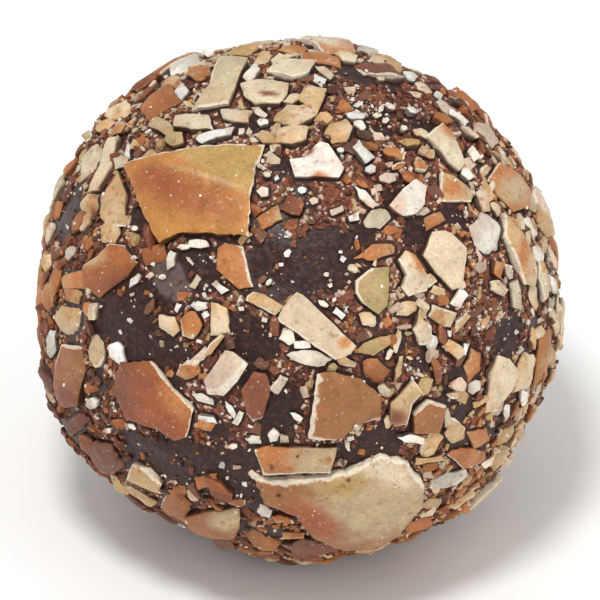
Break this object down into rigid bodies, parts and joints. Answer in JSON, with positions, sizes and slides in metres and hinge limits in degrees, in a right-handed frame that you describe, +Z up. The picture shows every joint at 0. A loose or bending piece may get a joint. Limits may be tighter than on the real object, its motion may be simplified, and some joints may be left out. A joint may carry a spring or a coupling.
{
  "type": "chocolate truffle",
  "caption": "Round dark chocolate truffle coated in chopped roasted nuts, resting on a small flat spot.",
  "frame": {"origin": "centre of the small flat spot that the truffle rests on, at the height of the surface under it", "axes": "+Z up; -Y is the show side, the side with the largest chips, which also tips up towards +Z; +X to the right of someone facing the show side"},
  "size_m": [0.03, 0.0302, 0.0289],
  "materials": {
    "chocolate": "dark chocolate, satin, dusted with cocoa and fine nut crumbs",
    "roasted_skin": "roasted nut, golden brown outer face, satin",
    "pale_kernel": "broken nut kernel, pale cream, dull"
  },
  "bodies": {
    "root": {"chocolate_ball": "chocolate", "cream_chip_01": "pale_kernel", "cream_chip_02": "pale_kernel", "cream_chip_03": "pale_kernel", "cream_chip_04": "pale_kernel", "cream_chip_05": "pale_kernel", "cream_chip_06": "pale_kernel", "cream_chip_07": "pale_kernel", "cream_chip_08": "pale_kernel", "cream_chip_09": "pale_kernel", "cream_chip_10": "pale_kernel", "cream_chip_11": "pale_kernel", "cream_chip_12": "pale_kernel", "cream_chip_13": "pale_kernel", "cream_chip_14": "pale_kernel", "cream_chip_15": "pale_kernel", "cream_chip_16": "pale_kernel", "cream_chip_17": "pale_kernel", "cream_chip_18": "pale_kernel", "cream_chip_22": "pale_kernel", "cream_chip_24": "pale_kernel", "cream_chip_26": "pale_kernel", "cream_chip_28": "pale_kernel", "cream_chip_30": "pale_kernel", "cream_chip_32": "pale_kernel", "cream_chip_34": "pale_kernel", "cream_chip_36": "pale_kernel", "cream_chip_38": "pale_kernel", "skin_chip_01": "roasted_skin", "skin_chip_02": "roasted_skin", "skin_chip_03": "roasted_skin", "skin_chip_04": "roasted_skin", "skin_chip_05": "roasted_skin", "skin_chip_06": "roasted_skin", "skin_chip_07": "roasted_skin", "skin_chip_08": "roasted_skin", "skin_chip_09": "roasted_skin", "skin_chip_10": "roasted_skin", "skin_chip_11": "roasted_skin", "skin_chip_12": "roasted_skin", "skin_chip_21": "roasted_skin", "skin_chip_23": "roasted_skin", "skin_chip_25": "roasted_skin", "skin_chip_27": "roasted_skin", "skin_chip_29": "roasted_skin", "skin_chip_31": "roasted_skin", "skin_chip_33": "roasted_skin", "skin_chip_35": "roasted_skin", "skin_chip_37": "roasted_skin"}
  },
  "joints": []
}
